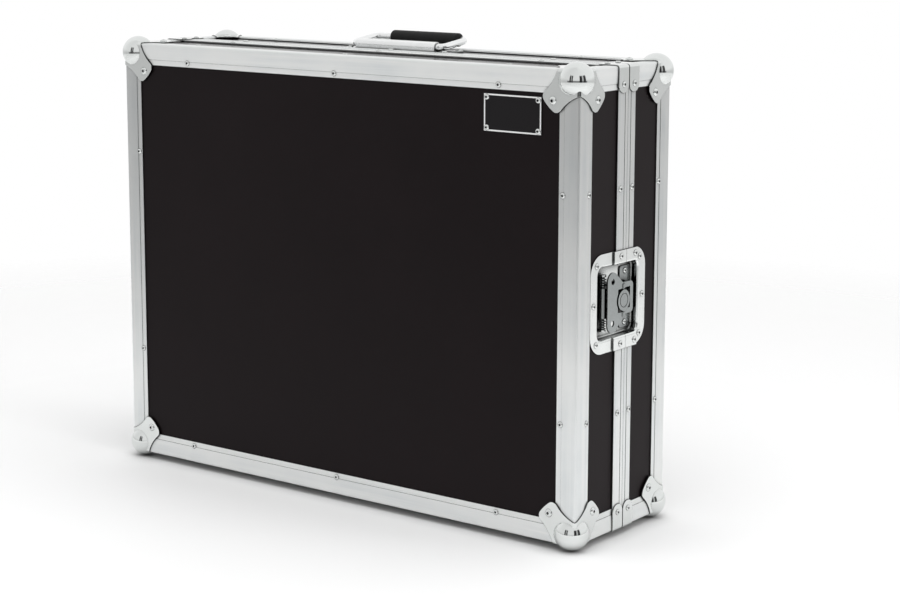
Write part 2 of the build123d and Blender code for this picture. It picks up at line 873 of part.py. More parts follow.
def dish_at(plane, level):
    """The dish with its whole rim at one level, and its mouth and floor edge rounded."""
    rim = (dish_lid_reach + dish_base_reach, dish_height)
    cup = (rim[0] - 2 * dish_border, rim[1] - 2 * dish_border)
    cup_outside = (cup[0] + 2 * sheet, cup[1] + 2 * sheet)
    outward = Axis(plane.origin, plane.z_dir)
    with BuildPart() as dish:
        rounded_slab(plane, rim, dish_radius, -leg_thickness, level)
        rounded_slab(plane, cup_outside, dish_inner_radius + sheet, -dish_depth, level)
        rounded_slab(plane, cup, dish_inner_radius, dish_floor, level, Mode.SUBTRACT)
        mouth = dish.faces().filter_by(plane).sort_by(outward)[-1].inner_wires()[0]
        fillet(mouth.edges(), radius=dish_mouth_radius)
        floor = dish.faces().filter_by(plane).sort_by(outward)[1]
        fillet(floor.edges(), radius=dish_floor_radius)
    return dish.part


def dish_form(plane):
    """Both halves of the recessed dish as one pressing, stepped up over the seam extrusions."""
    lid_step = lid_lip + dish_lid_step_gap
    base_step = base_lip + dish_base_step_gap
    side = dish_height / 2 + margin
    raised_low = (-lid_step - sheet, -side, -dish_depth - margin)
    raised_high = (base_step + sheet, side, sheet + margin)
    rim_size = (dish_lid_reach + dish_base_reach, dish_height)
    cup_outside = (rim_size[0] - 2 * (dish_border - sheet), rim_size[1] - 2 * (dish_border - sheet))
    with BuildPart() as under_lips:
        slab(plane, (-lid_step, -side, -leg_thickness), (base_step, side, 0))
        rounded_slab(
            plane, cup_outside, dish_inner_radius + sheet, -leg_thickness, 0, Mode.SUBTRACT
        )
    with BuildPart() as raised:
        add(dish_at(plane, sheet))
        add(under_lips.part, mode=Mode.SUBTRACT)
        slab(plane, raised_low, raised_high, Mode.INTERSECT)
    with BuildPart() as form:
        add(dish_at(plane, sheet - leg_thickness))
        slab(plane, raised_low, raised_high, Mode.SUBTRACT)
        add(raised.part)
    return form.part


def drill_keeper(plane):
    """Cuts the keeper's rivet holes in the piece being built."""
    middle_u = keeper_from_seam + keeper_width / 2
    with BuildSketch(plane.offset(-dish_depth)) as holes:
        with Locations((middle_u, -keeper_rivet_spread), (middle_u, keeper_rivet_spread)):
            Circle(rivet_shank_radius)
    extrude(holes.sketch, amount=sheet + keeper_thickness, mode=Mode.SUBTRACT)


def lid_dish(side, plane, form):
    """The lid's part of the dish, with the two ears that hold the hinge pin."""
    side_reach = dish_height / 2 + margin
    with BuildPart() as dish:
        add(form)
        beyond = (-seam_gap / 2, -side_reach, -dish_depth - margin)
        slab(plane, beyond, (dish_base_reach + margin, side_reach, margin * 2), Mode.SUBTRACT)
        for start in (-ear_outside, ear_inside):
            low = (hinge[0] - ear_radius, start, dish_floor)
            high = (hinge[0] + ear_radius, start + ear_thickness, hinge_level)
            slab(plane, low, high)
            rod(plane, hinge, start, ear_thickness, ear_radius)
            rod(plane, hinge, start, ear_thickness, hinge_pin_radius, Mode.SUBTRACT)
        drill(dish, LID)
    save(dish, f"latch_{side}_lid_dish")


def base_dish(side, plane, form):
    """The base's part of the dish, under the keeper."""
    side_reach = dish_height / 2 + margin
    with BuildPart() as dish:
        add(form)
        beyond = (-dish_lid_reach - margin, -side_reach, -dish_depth - margin)
        slab(plane, beyond, (seam_gap / 2, side_reach, margin * 2), Mode.SUBTRACT)
        drill_keeper(plane)
        drill(dish, BASE)
    save(dish, f"latch_{side}_base_dish")


def keeper(side, plane):
    """The plate with the raised lip that the hook frame reaches over."""
    with BuildPart() as piece:
        with BuildSketch(plane.offset(dish_floor)):
            with Locations((keeper_from_seam + keeper_width / 2, 0)):
                RectangleRounded(keeper_width, keeper_height, keeper_corner_radius)
        extrude(amount=keeper_thickness)
        low = (keeper_lip_far - keeper_lip_thickness, -keeper_lip_height / 2, dish_floor)
        slab(plane, low, (keeper_lip_far, keeper_lip_height / 2, keeper_top))
        drill_keeper(plane)
    save(piece, f"latch_{side}_keeper")


def hinge_pin(side, plane):
    """The pin through the ears, the springs and the arm's knuckle."""
    with BuildPart() as pin:
        rod(plane, hinge, -ear_outside, 2 * ear_outside, hinge_pin_radius)
    save(pin, f"latch_{side}_hinge_pin")


def helix_point(plane, start, pitch, turn):
    """A point on the spring's centre line and the direction of the wire there."""
    angle = 2 * pi * turn
    u = hinge[0] + spring_radius * cos(angle)
    w = hinge[1] + spring_radius * sin(angle)
    point = plane.from_local_coords((u, start + pitch * turn, w))
    ahead = plane.from_local_coords((u - sin(angle), start + pitch * turn, w + cos(angle)))
    rise_per_radius = pitch / (2 * pi * spring_radius)
    tangent = ahead - point + plane.y_dir * rise_per_radius
    return point, tangent.normalized()


def biarc_joint(first, first_tangent, last, last_tangent):
    """The point where two arcs meet that leave one point and reach another along given tangents."""
    chord = last - first
    tangents = first_tangent + last_tangent
    spread = 2 * (1 - first_tangent.dot(last_tangent))
    along = chord.dot(tangents)
    reach = ((along * along + spread * chord.dot(chord)) ** 0.5 - along) / spread
    return (first + last + (first_tangent - last_tangent) * reach) * 0.5


def spring_coil(plane, start, pitch):
    """One coil round the hinge pin, swept along two arcs for each quarter of a turn."""
    steps = spring_turns * 4
    marks = [helix_point(plane, start, pitch, i / 4) for i in range(steps + 1)]
    with BuildPart() as coil:
        with BuildLine() as path:
            for (first, first_tangent), (last, last_tangent) in zip(marks, marks[1:]):
                joint = biarc_joint(first, first_tangent, last, last_tangent)
                arc = TangentArc(first, joint, tangent=first_tangent)
                TangentArc(joint, last, tangent=arc % 1)
        with BuildSketch(Plane(origin=marks[0][0], z_dir=marks[0][1])):
            Circle(spring_wire_radius)
        sweep(path=path.line)
    return coil.part


def springs(side, plane):
    """The two torsion springs that lift the latch arm, one at each end of its knuckle."""
    near = knuckle_length / 2 + spring_end_gap + spring_wire_radius
    far = ear_inside - spring_end_gap - spring_wire_radius
    pitch = (far - near) / spring_turns
    print(side, "spring: least gap to itself", round(pitch - 2 * spring_wire_radius, 2), "mm")
    upper = spring_coil(plane, near, pitch)
    lower = spring_coil(plane, -far, pitch)
    with BuildPart() as pair:
        add([upper, lower])
    save(pair, f"latch_{side}_springs")


hub_u = -hub_from_seam


def latch_arm(side, plane):
    """The plate that swings out on the hinge and carries the hub and the hook frame."""
    end = hub_u + arm_past_hub
    with BuildPart() as arm:
        slab(plane, (hinge[0], -arm_width / 2, arm_level), (end, arm_width / 2, arm_top))
        corners = arm.edges().filter_by(Axis.X).group_by(Axis.Y)[-1]
        fillet(corners, radius=arm_end_radius)
        rod(plane, hinge, -knuckle_length / 2, knuckle_length, knuckle_radius)
        bore = hinge_pin_radius + hinge_pin_clearance
        rod(plane, hinge, -knuckle_length / 2, knuckle_length, bore, Mode.SUBTRACT)
        disc(plane, hub_u, arm_level, arm_thickness, post_radius + post_clearance, Mode.SUBTRACT)
    save(arm, f"latch_{side}_arm")


def latch_hub(side, plane):
    """The turning post with its foot, its eccentric, its cap and the two pins of the wing."""
    foot_level = arm_level - post_foot_gap - post_foot_thickness
    with BuildPart() as hub:
        disc(plane, hub_u, foot_level, post_foot_thickness, post_foot_radius)
        disc(plane, hub_u, foot_level, cap_level - foot_level, post_radius)
        disc(plane, hub_u - cam_throw, arm_top + cam_gap, cam_thickness, cam_radius)
        disc(plane, hub_u, cap_level, cap_thickness, cap_radius)
        groove_level = cap_level + cap_thickness - cap_groove_depth
        with BuildSketch(plane.offset(groove_level)):
            with Locations((hub_u, 0)):
                Circle(cap_groove_radius)
                Circle(cap_groove_radius - cap_groove_width, mode=Mode.SUBTRACT)
        extrude(amount=cap_groove_depth, mode=Mode.SUBTRACT)
        length = 2 * (cap_radius + wing_pin_length)
        rod(plane, (hub_u, fold_level), -length / 2, length, wing_pin_radius)
    save(hub, f"latch_{side}_hub")


def latch_wing(side, plane):
    """The butterfly wing: two holed lobes and two horns that fold on the hub's pins."""
    inside = cap_radius + wing_cap_clearance
    outside = inside + wing_horn_width
    back = hub_u - lobe_back
    with BuildPart() as wing:
        with BuildSketch(plane.offset(wing_level)):
            lobes = []
            for turn in (-1, 1):
                with Locations((back, turn * lobe_side)):
                    lobe = Circle(lobe_radius)
                with Locations((hub_u, turn * (inside + outside) / 2)):
                    horn = Circle(wing_horn_width / 2)
                make_hull(lobe.edges() + horn.edges())
                lobes += lobe.edges()
            make_hull(lobes)
            with Locations((hub_u, 0)):
                Circle(inside, mode=Mode.SUBTRACT)
            with Locations((back, -lobe_side), (back, lobe_side)):
                Circle(lobe_hole_radius, mode=Mode.SUBTRACT)
        extrude(amount=wing_thickness)
        fold = (hub_u, fold_level)
        for start in (-outside, inside):
            rod(plane, fold, start, wing_horn_width, wing_knuckle_radius)
        bore = wing_pin_radius + wing_pin_clearance
        rod(plane, fold, -outside, 2 * outside, bore, Mode.SUBTRACT)
    save(wing, f"latch_{side}_wing")


def latch_hook(side, plane):
    """The sliding frame: one window for the eccentric and one that drops over the keeper."""
    cam_u = hub_u - cam_throw
    cam_near = cam_u - cam_radius - cam_play
    cam_far = cam_u + cam_radius + cam_play
    cam_side = cam_radius + cam_throw + cam_play
    tail = cam_near - hook_tail_bar
    window_near = cam_far + hook_cross_bar
    window_far = hook_reach - hook_bar
    window_side = hook_height / 2 - hook_bar
    with BuildPart() as hook:
        with BuildSketch(plane.offset(hook_level)):
            with Locations(((tail + hook_reach) / 2, 0)):
                RectangleRounded(hook_reach - tail, hook_height, hook_corner_radius)
            with Locations(((cam_near + cam_far) / 2, 0)):
                Rectangle(cam_far - cam_near, 2 * cam_side, mode=Mode.SUBTRACT)
            with Locations(((window_near + window_far) / 2, 0)):
                Rectangle(window_far - window_near, 2 * window_side, mode=Mode.SUBTRACT)
        extrude(amount=hook_thickness)
    save(hook, f"latch_{side}_hook")


def rivet_group(half, name):
    """Every rivet of one half, as separate solids."""
    with BuildPart() as rivets:
        with Locations(*spots_of[half]):
            add(rivet_solid(rivet_shank_length, small_head))
        with Locations(*corner_spots(half)):
            add(rivet_solid(rivet_shank_length, large_head))
        if half == BASE:
            short = rivet_solid(sheet + keeper_thickness, small_head)
            with Locations(*keeper_spots()):
                add(short)
    save(rivets, name)


os.makedirs("parts", exist_ok=True)
corner_form = ball_corner_form()
for half in (LID, BASE):
    prefix = half_name[half]
    face_panel(half, f"{prefix}_face_panel")
    level_wall(half, f"{prefix}_top_wall", 1)
    level_wall(half, f"{prefix}_bottom_wall", -1)
    end_wall(half, f"{prefix}_left_wall", -1)
    end_wall(half, f"{prefix}_right_wall", 1)
    long_edge(half, f"{prefix}_top_edge", 1)
    long_edge(half, f"{prefix}_bottom_edge", -1)
    upright_edge(half, f"{prefix}_left_edge", -1)
    upright_edge(half, f"{prefix}_right_edge", 1)
    corner_edges(half, f"{prefix}_corner_edges")
    save(seam_extrusions(half), f"{prefix}_seam_extrusions")
    seam_braces(half, f"{prefix}_seam_braces")
    for side, side_name in ((-1, "left"), (1, "right")):
        for level, level_name in ((-1, "bottom"), (1, "top")):
            name = f"{prefix}_ball_corner_{level_name}_{side_name}"
            ball_corner(name, corner_form, half, side, level)
    foam_pad_piece(half, f"{prefix}_foam_pad")
    foam_lining_piece(half, f"{prefix}_foam_lining")
    rivet_group(half, f"{prefix}_rivets")

label_plate()
handle_plate()
handle_bail()
handle_grip()
for side, plane in latch_planes.items():
    form = dish_form(plane)
    lid_dish(side, plane, form)
    base_dish(side, plane, form)
    keeper(side, plane)
    hinge_pin(side, plane)
    springs(side, plane)
    latch_arm(side, plane)
    latch_hub(side, plane)
    latch_wing(side, plane)
    latch_hook(side, plane)
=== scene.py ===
import math

import bmesh
import bpy
from mathutils import Matrix, Vector


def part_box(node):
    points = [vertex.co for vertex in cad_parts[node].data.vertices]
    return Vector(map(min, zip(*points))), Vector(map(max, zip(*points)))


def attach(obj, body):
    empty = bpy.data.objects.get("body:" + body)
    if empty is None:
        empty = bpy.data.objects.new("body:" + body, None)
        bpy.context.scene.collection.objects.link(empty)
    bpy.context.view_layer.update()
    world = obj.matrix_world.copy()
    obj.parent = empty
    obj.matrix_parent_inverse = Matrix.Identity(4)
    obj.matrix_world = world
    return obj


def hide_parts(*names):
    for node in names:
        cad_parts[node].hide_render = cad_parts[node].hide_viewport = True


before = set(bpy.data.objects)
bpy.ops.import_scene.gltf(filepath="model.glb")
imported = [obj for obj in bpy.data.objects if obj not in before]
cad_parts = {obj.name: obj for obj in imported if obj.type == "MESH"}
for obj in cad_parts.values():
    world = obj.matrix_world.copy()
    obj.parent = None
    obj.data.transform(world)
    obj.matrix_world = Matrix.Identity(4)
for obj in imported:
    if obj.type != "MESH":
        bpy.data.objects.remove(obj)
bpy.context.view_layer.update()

# Axes of the part's frame
ALONG = {"X": 0, "Y": 1, "Z": 2}

# Camera, fitted to the photo in the part's frame, in metres, degrees and lens millimetres
CAMERA_PLACE = (1.50927, -1.87358, 0.69455)
CAMERA_YAW = 37.011
CAMERA_PITCH = -9.276
CAMERA_ROLL = -0.123
CAMERA_UPRIGHT = 90.0
CAMERA_LENS = 83.0
CAMERA_SENSOR = 36.0
CAMERA_SHIFT_Y = -0.0806

# Colours
LAMINATE_COLOUR = (0.0062, 0.0038, 0.0044)
ALUMINIUM_COLOUR = (0.91, 0.92, 0.91)
BAND_COLOUR = (0.73, 0.76, 0.77)
STEEL_COLOUR = (0.76, 0.78, 0.77)
HANDLE_COLOUR = (0.90, 0.91, 0.91)
DISH_COLOUR = (0.85, 0.87, 0.86)
LATCH_COLOUR = (0.36, 0.38, 0.38)
RUBBER_COLOUR = (0.006, 0.006, 0.006)
FOAM_COLOUR = (0.022, 0.022, 0.024)
LABEL_COLOUR = (0.010, 0.009, 0.010)
LABEL_LINE_COLOUR = (0.78, 0.78, 0.78)
FLOOR_COLOUR = (0.90, 0.90, 0.90)
# Painted shade in the crevices of the metal parts
PAINTED_SHADE_COLOUR = (0.02, 0.02, 0.02)
WHITE = (1.0, 1.0, 1.0, 1.0)

# Shares that make a colour paler or darker; the laminate's and the floor's darkest shares set
# painted shade in crevices and painted contact shadow
LAMINATE_PALE = 1.25
LAMINATE_PAINTED_SHADE = 0.2
METAL_DULL = 0.94
RUBBER_PALE = 1.5
FOAM_PALE = 1.7
FLOOR_DULL = 0.985
FLOOR_PAINTED_SHADOW_SHARE = 0.5

# Gloss of what isn't metal
LAMINATE_SPECULAR = 0.10
LABEL_SPECULAR = 0.12
RUBBER_SPECULAR = 0.20
FOAM_SPECULAR = 0.1
FLOOR_SPECULAR = 0.2

# Roughness, as one value or as a range
LAMINATE_ROUGHNESS = (0.37, 0.45)
LABEL_ROUGHNESS = (0.30, 0.38)
RUBBER_ROUGHNESS = (0.50, 0.62)
FOAM_ROUGHNESS = 0.95
FLOOR_ROUGHNESS = 0.6
ALUMINIUM_ROUGHNESS = (0.36, 0.42)
ALUMINIUM_CLOUD_ROUGHNESS = (0.0, 0.05)
CORNER_ROUGHNESS = 0.04
LATCH_ROUGHNESS = 0.09
HANDLE_ROUGHNESS = 0.20
RIVET_ROUGHNESS = 0.10
STEEL_ROUGHNESS_SPREAD = 0.05

# Laminate at a grazing angle: where the effect starts and ends, and the roughness that is left
LAMINATE_GRAZING = (0.70, 0.90)
LAMINATE_GRAZING_SHARE = 0.35

# Grain of the aluminium, with its lines and bands counted to a metre across it
ALUMINIUM_GRAIN = 0.92
ALUMINIUM_GRAIN_TURN = 0.25
LINE_FINENESS = 500.0
BAND_FINENESS = 130.0
STREAK_STRETCH = 3.0
STREAK_DETAIL = 3.0
LINE_SHARE = 0.7
END_FACING = 0.5

# Noise: waves to a metre, detail, and roughness where it isn't the usual one
NOISE_ROUGHNESS = 0.55
LAMINATE_TEXTURE = (900.0, 3.0)
LAMINATE_CLOUD = (9.0, 3.0)
ALUMINIUM_CLOUD = (14.0, 3.0)
STEEL_CLOUD = (40.0, 4.0)
STEEL_TEXTURE = (600.0, 3.0)
RUBBER_TEXTURE = (500.0, 3.0)
RUBBER_CLOUD = (60.0, 3.0)
FOAM_CELLS = (700.0, 6.0, 0.7)
FOAM_CLOUD = (20.0, 3.0)
LABEL_TEXTURE = (300.0, 4.0)
FLOOR_CLOUD = (2.0, 4.0)

# Range in which most noise values lie
NOISE_LOW = 0.3
NOISE_HIGH = 0.7

# Bumps: strength, and height in metres
LAMINATE_BUMP = (0.10, 0.0002)
ALUMINIUM_BUMP = (0.04, 0.0002)
STEEL_BUMP = (0.02, 0.0002)
RUBBER_BUMP = (0.25, 0.0003)
FOAM_BUMP = (0.6, 0.0008)

# Painted shade in crevices, and painted contact shadow on the floor: shares of open sky that count
# as closed and as open, and the distance in metres
LAMINATE_CREVICE = (0.45, 0.85, 0.004)
ALUMINIUM_CREVICE = (0.58, 0.92, 0.004)
STEEL_CREVICE = (0.45, 0.90, 0.004)
RIVET_CREVICE = (0.62, 0.80, 0.004)
DISH_CREVICE = (0.48, 0.96, 0.012)
LATCH_CREVICE = (0.52, 0.97, 0.012)
# Painted contact shadow on the floor near the case
FLOOR_PAINTED_SHADOW = (0.0, 0.9, 0.03)
CREVICE_SAMPLES = 8

# Edges that look rounded
EDGE_SOFTENING = 0.0004
EDGE_SAMPLES = 4

# Border line of the label, in metres from the plate's edge
LABEL_LINE_START = 0.0005
LABEL_LINE_END = 0.0021

# Pieces of a latch that share one look
LATCH_PIECES = ("keeper", "hinge_pin", "springs", "arm", "hub", "wing", "hook")

# Foam blocks, in metres
FOAM_EDGE = 0.004
FOAM_EDGE_STEPS = 4
FOAM_EDGE_PROFILE = 0.5
FOAM_STRIP = 0.008
FOAM_GAP = 0.0003
CUBE_HALF = 0.5

# Floor, in metres
FLOOR_HALF = 6.0
FLOOR_SOLID_RADIUS = 0.75
FLOOR_FADE_RADIUS = 1.7

# Lamps: name, place, the place that it points at, size in metres and power in watts
LAMPS = (
    ("top softbox", (0.2, -0.3, 2.6), (0.0, 0.0, 0.2), 2.4, 42.0),
    ("right softbox", (2.6, 0.2, 1.4), (0.0, 0.0, 0.3), 1.8, 24.0),
    ("left softbox", (-1.8, -2.4, 1.3), (0.0, 0.0, 0.3), 1.6, 12.0),
)

# Strength of the room where the camera sees it, in its light and in reflections
ROOM_SEEN = 1.0
ROOM_LIGHT = 0.62
ROOM_SHINE = 1.0

# Where a new stop of a ramp lies before it is moved
NEW_STOP = 0.5

# Grey levels from straight down (0) over the horizon (0.5) to straight up (1)
HEIGHT_STOPS = (
    (0.0, 1.0),
    (0.39, 1.0),
    (0.405, 0.88),
    (0.425, 0.74),
    (0.445, 0.70),
    (0.48, 0.74),
    (0.52, 0.86),
    (0.58, 1.0),
    (1.0, 1.0),
)

# Grey levels round the room: 0 and 1 lie at -X, 0.25 at -Y, 0.5 at +X and 0.75 at +Y
TURN_STOPS = ((0.0, 1.0), (0.10, 0.88), (0.17, 0.85), (0.30, 0.90), (0.55, 1.0), (1.0, 1.0))

# Where the white backdrop behind the case reaches down to the floor
BACKDROP_STOPS = ((0.68, 0.0), (0.78, 1.0), (0.94, 1.0), (1.0, 0.0))

# Dark stands on both sides of the camera
STAND_STOPS = (
    (0.208, 0.0),
    (0.212, 0.97),
    (0.234, 0.97),
    (0.238, 0.30),
    (0.246, 0.30),
    (0.249, 0.96),
    (0.268, 0.96),
    (0.272, 0.0),
    (0.386, 0.0),
    (0.390, 0.97),
    (0.430, 0.97),
    (0.436, 0.40),
    (0.456, 0.40),
    (0.462, 0.95),
    (0.500, 0.95),
    (0.506, 0.0),
)
STAND_HEIGHT_STOPS = ((0.40, 0.0), (0.43, 1.0), (0.74, 1.0), (0.78, 0.0))

# A low dark wall behind the camera
WALL_STOPS = ((0.165, 0.0), (0.175, 0.75), (0.52, 0.75), (0.535, 0.0))
WALL_HEIGHT_STOPS = ((0.415, 0.0), (0.425, 1.0), (0.49, 1.0), (0.505, 0.0))


# Small helpers for shader nodes
def new_material(name):
    """A material with a fresh Principled shader; returns the material, its tree and the shader."""
    material = bpy.data.materials.new(name)
    material.use_nodes = True
    tree = material.node_tree
    tree.nodes.clear()
    output = tree.nodes.new("ShaderNodeOutputMaterial")
    shader = tree.nodes.new("ShaderNodeBsdfPrincipled")
    tree.links.new(shader.outputs["BSDF"], output.inputs["Surface"])
    return material, tree, shader


def object_place(tree, scale=(1.0, 1.0, 1.0)):
    """The point's place in the part's frame, scaled along each axis."""
    coordinates = tree.nodes.new("ShaderNodeTexCoord")
    mapping = tree.nodes.new("ShaderNodeMapping")
    mapping.inputs["Scale"].default_value = scale
    tree.links.new(coordinates.outputs["Object"], mapping.inputs["Vector"])
    return mapping.outputs["Vector"]


def split_axes(tree, vector):
    """The three parts of a vector."""
    node = tree.nodes.new("ShaderNodeSeparateXYZ")
    tree.links.new(vector, node.inputs["Vector"])
    return node.outputs


def noise(tree, place, scale, detail, roughness=NOISE_ROUGHNESS):
    """A noise value between 0 and 1 at a place."""
    node = tree.nodes.new("ShaderNodeTexNoise")
    node.inputs["Scale"].default_value = scale
    node.inputs["Detail"].default_value = detail
    node.inputs["Roughness"].default_value = roughness
    tree.links.new(place, node.inputs["Vector"])
    return node.outputs["Fac"]


def spread(tree, value, low, high, from_low=NOISE_LOW, from_high=NOISE_HIGH):
    """Maps a value, by default a noise value, to a range."""
    node = tree.nodes.new("ShaderNodeMapRange")
    node.inputs["From Min"].default_value = from_low
    node.inputs["From Max"].default_value = from_high
    node.inputs["To Min"].default_value = low
    node.inputs["To Max"].default_value = high
    tree.links.new(value, node.inputs["Value"])
    return node.outputs["Result"]


def calculate(tree, operation, first, second=None):
    """One arithmetic step on values or numbers."""
    node = tree.nodes.new("ShaderNodeMath")
    node.operation = operation
    for socket, value in zip(node.inputs, (first, second)):
        if value is None:
            continue
        if isinstance(value, (int, float)):
            socket.default_value = value
        else:
            tree.links.new(value, socket)
    return node.outputs["Value"]


def mix_colour(tree, factor, first, second):
    """The first colour where the factor is 0 and the second where it is 1."""
    node = tree.nodes.new("ShaderNodeMix")
    node.data_type = "RGBA"
    tree.links.new(factor, node.inputs["Factor"])
    for socket, value in ((node.inputs["A"], first), (node.inputs["B"], second)):
        if isinstance(value, tuple):
            socket.default_value = (*value, 1.0)
        else:
            tree.links.new(value, socket)
    return node.outputs["Result"]


def dimmed(colour, share):
    """A colour times a share."""
    return tuple(channel * share for channel in colour)


def soft_edges(tree):
    """A normal that makes sharp edges look rounded."""
    node = tree.nodes.new("ShaderNodeBevel")
    node.samples = EDGE_SAMPLES
    node.inputs["Radius"].default_value = EDGE_SOFTENING
    return node.outputs["Normal"]


def bump(tree, height, strength, distance, normal=None):
    """A normal roughened by a height value."""
    node = tree.nodes.new("ShaderNodeBump")
    node.inputs["Strength"].default_value = strength
    node.inputs["Distance"].default_value = distance
    tree.links.new(height, node.inputs["Height"])
    if normal is not None:
        tree.links.new(normal, node.inputs["Normal"])
    return node.outputs["Normal"]


def openness(tree, closed, clear, distance):
    """1 on open surfaces and 0 deep in crevices, between two shares of open sky."""
    node = tree.nodes.new("ShaderNodeAmbientOcclusion")
    node.inputs["Distance"].default_value = distance
    node.samples = CREVICE_SAMPLES
    return spread(tree, node.outputs["AO"], 0.0, 1.0, closed, clear)


def shade(*names, material):
    """Gives a material to CAD nodes."""
    for name in names:
        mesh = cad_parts[name].data
        mesh.materials.clear()
        mesh.materials.append(material)


# Laminate of the panels
def laminate():
    """Black satin laminate with a fine grain and painted shade in its crevices, glossier at a
    grazing angle.
    """
    material, tree, shader = new_material("laminate")
    place = object_place(tree)
    texture = noise(tree, place, *LAMINATE_TEXTURE)
    cloud = noise(tree, place, *LAMINATE_CLOUD)
    pale = dimmed(LAMINATE_COLOUR, LAMINATE_PALE)
    dark = dimmed(LAMINATE_COLOUR, LAMINATE_PAINTED_SHADE)
    colour = mix_colour(tree, spread(tree, cloud, 0.0, 1.0), LAMINATE_COLOUR, pale)
    # Painted shade: a darker laminate colour where the surface sees little open sky
    colour = mix_colour(tree, openness(tree, *LAMINATE_CREVICE), dark, colour)
    tree.links.new(colour, shader.inputs["Base Color"])
    roughness = spread(tree, cloud, *LAMINATE_ROUGHNESS)
    facing = tree.nodes.new("ShaderNodeLayerWeight").outputs["Facing"]
    gloss = spread(tree, facing, 1.0, LAMINATE_GRAZING_SHARE, *LAMINATE_GRAZING)
    roughness = calculate(tree, "MULTIPLY", roughness, gloss)
    tree.links.new(roughness, shader.inputs["Roughness"])
    shader.inputs["Specular IOR Level"].default_value = LAMINATE_SPECULAR
    tree.links.new(bump(tree, texture, *LAMINATE_BUMP), shader.inputs["Normal"])
    return material


# Aluminium of the extrusions
def streaks(tree, along, fineness):
    """Streaks drawn out along one axis, so many to a metre across it."""
    scale = [fineness] * 3
    scale[ALONG[along]] = STREAK_STRETCH
    return noise(tree, object_place(tree, tuple(scale)), 1.0, STREAK_DETAIL)


def axis_vector(tree, along):
    """A vector along one axis."""
    node = tree.nodes.new("ShaderNodeCombineXYZ")
    node.inputs[along].default_value = 1.0
    return node.outputs["Vector"]


def straight_grain(along):
    """A function that gives the lines, bands and grain direction along one axis."""
    return lambda tree: (
        streaks(tree, along, LINE_FINENESS),
        streaks(tree, along, BAND_FINENESS),
        axis_vector(tree, along),
    )


def seam_grain(tree):
    """Lines, bands and grain along Z on the case's ends, and along X on its top and bottom."""
    geometry = tree.nodes.new("ShaderNodeNewGeometry")
    facing = calculate(tree, "ABSOLUTE", split_axes(tree, geometry.outputs["Normal"])["X"])
    on_end = calculate(tree, "GREATER_THAN", facing, END_FACING)
    results = []
    for kind, level, upright in (
        ("FLOAT", streaks(tree, "X", LINE_FINENESS), streaks(tree, "Z", LINE_FINENESS)),
        ("FLOAT", streaks(tree, "X", BAND_FINENESS), streaks(tree, "Z", BAND_FINENESS)),
        ("VECTOR", axis_vector(tree, "X"), axis_vector(tree, "Z")),
    ):
        mix = tree.nodes.new("ShaderNodeMix")
        mix.data_type = kind
        sockets = [socket for socket in mix.inputs if socket.enabled]
        for socket, value in zip(sockets, (on_end, level, upright)):
            tree.links.new(value, socket)
        results.append([socket for socket in mix.outputs if socket.enabled][0])
    return results


def aluminium(name, grain_of):
    """Satin extruded aluminium, with the lines, bands and grain that a function gives, and painted
    shade in its crevices.
    """
    material, tree, shader = new_material(name)
    lines, bands, direction = grain_of(tree)
    cloud = noise(tree, object_place(tree), *ALUMINIUM_CLOUD)
    dull = dimmed(ALUMINIUM_COLOUR, METAL_DULL)
    colour = mix_colour(tree, spread(tree, bands, 0.0, 1.0), BAND_COLOUR, ALUMINIUM_COLOUR)
    colour = mix_colour(tree, spread(tree, lines, LINE_SHARE, 1.0), BAND_COLOUR, colour)
    colour = mix_colour(tree, spread(tree, cloud, 0.0, 1.0), dull, colour)
    # Painted shade: near-black mixed in where the surface sees little open sky
    colour = mix_colour(tree, openness(tree, *ALUMINIUM_CREVICE), PAINTED_SHADE_COLOUR, colour)
    tree.links.new(colour, shader.inputs["Base Color"])
    shader.inputs["Metallic"].default_value = 1.0
    shader.inputs["Anisotropic"].default_value = ALUMINIUM_GRAIN
    shader.inputs["Anisotropic Rotation"].default_value = ALUMINIUM_GRAIN_TURN
    tree.links.new(direction, shader.inputs["Tangent"])
    fine = spread(tree, lines, *ALUMINIUM_ROUGHNESS)
    broad = spread(tree, cloud, *ALUMINIUM_CLOUD_ROUGHNESS)
    tree.links.new(calculate(tree, "ADD", fine, broad), shader.inputs["Roughness"])
    normal = bump(tree, lines, *ALUMINIUM_BUMP, soft_edges(tree))
    tree.links.new(normal, shader.inputs["Normal"])
    return material


# Plated steel of the corners, braces, latches, handle and rivets
def plated_steel(name, tint, roughness, crevice=STEEL_CREVICE):
    """Plated steel with painted shade in its crevices."""
    material, tree, shader = new_material(name)
    cloud = noise(tree, object_place(tree), *STEEL_CLOUD)
    texture = noise(tree, object_place(tree), *STEEL_TEXTURE)
    colour = mix_colour(tree, spread(tree, cloud, 0.0, 1.0), dimmed(tint, METAL_DULL), tint)
    # Painted shade: near-black mixed in where the surface sees little open sky
    colour = mix_colour(tree, openness(tree, *crevice), PAINTED_SHADE_COLOUR, colour)
    tree.links.new(colour, shader.inputs["Base Color"])
    shader.inputs["Metallic"].default_value = 1.0
    rough = spread(tree, cloud, roughness, roughness + STEEL_ROUGHNESS_SPREAD)
    tree.links.new(rough, shader.inputs["Roughness"])
    normal = bump(tree, texture, *STEEL_BUMP, soft_edges(tree))
    tree.links.new(normal, shader.inputs["Normal"])
    return material


# Rubber of the grip
def rubber():
    """Matt black rubber with a fine texture."""
    material, tree, shader = new_material("grip rubber")
    texture = noise(tree, object_place(tree), *RUBBER_TEXTURE)
    cloud = noise(tree, object_place(tree), *RUBBER_CLOUD)
    pale = dimmed(RUBBER_COLOUR, RUBBER_PALE)
    colour = mix_colour(tree, spread(tree, cloud, 0.0, 1.0), RUBBER_COLOUR, pale)
    tree.links.new(colour, shader.inputs["Base Color"])
    tree.links.new(spread(tree, texture, *RUBBER_ROUGHNESS), shader.inputs["Roughness"])
    shader.inputs["Specular IOR Level"].default_value = RUBBER_SPECULAR
    tree.links.new(bump(tree, texture, *RUBBER_BUMP), shader.inputs["Normal"])
    return material


